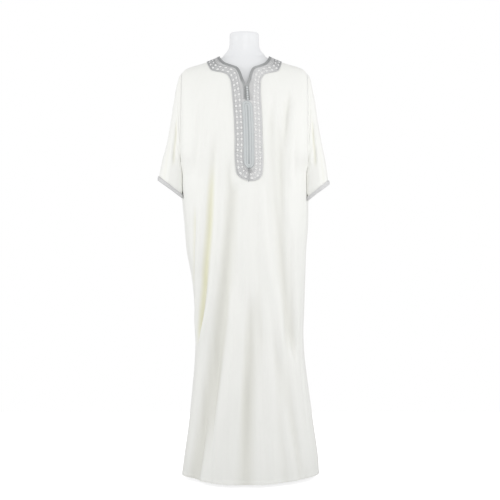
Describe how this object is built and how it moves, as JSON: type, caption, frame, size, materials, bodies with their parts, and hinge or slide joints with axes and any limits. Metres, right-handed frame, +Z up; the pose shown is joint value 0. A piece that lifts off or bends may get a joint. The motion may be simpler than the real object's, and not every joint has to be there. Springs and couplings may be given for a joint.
{
  "type": "djellaba robe on dress form",
  "caption": "Long loose short-sleeved robe with an embroidered neck band and slit, hanging open-hemmed on a limbless dress form with a round stand.",
  "frame": {"origin": "centre of the stand's underside, on the floor", "axes": "+Z up; -Y to the robe's front, where its slit is; +X to the right as the front is looked at"},
  "size_m": [0.6046, 0.3934, 1.56],
  "materials": {
    "cloth": "soft satin",
    "embroidery": "silk embroidery",
    "braid": "silk braid",
    "shell": "smooth gloss",
    "steel": "brushed"
  },
  "bodies": {
    "root": {"front": "cloth", "back": "cloth", "sleeve_left": "cloth", "sleeve_right": "cloth", "band_front": "embroidery", "band_back": "embroidery", "neck_cord_front": "braid", "neck_cord_back": "braid", "slit_braid": "braid", "cuff_left": "braid", "cuff_right": "braid", "button_1": "braid", "button_2": "braid", "button_3": "braid", "button_4": "braid", "button_5": "braid", "button_6": "braid", "form_torso": "shell", "form_pole": "steel", "form_base": "steel"}
  },
  "joints": []
}
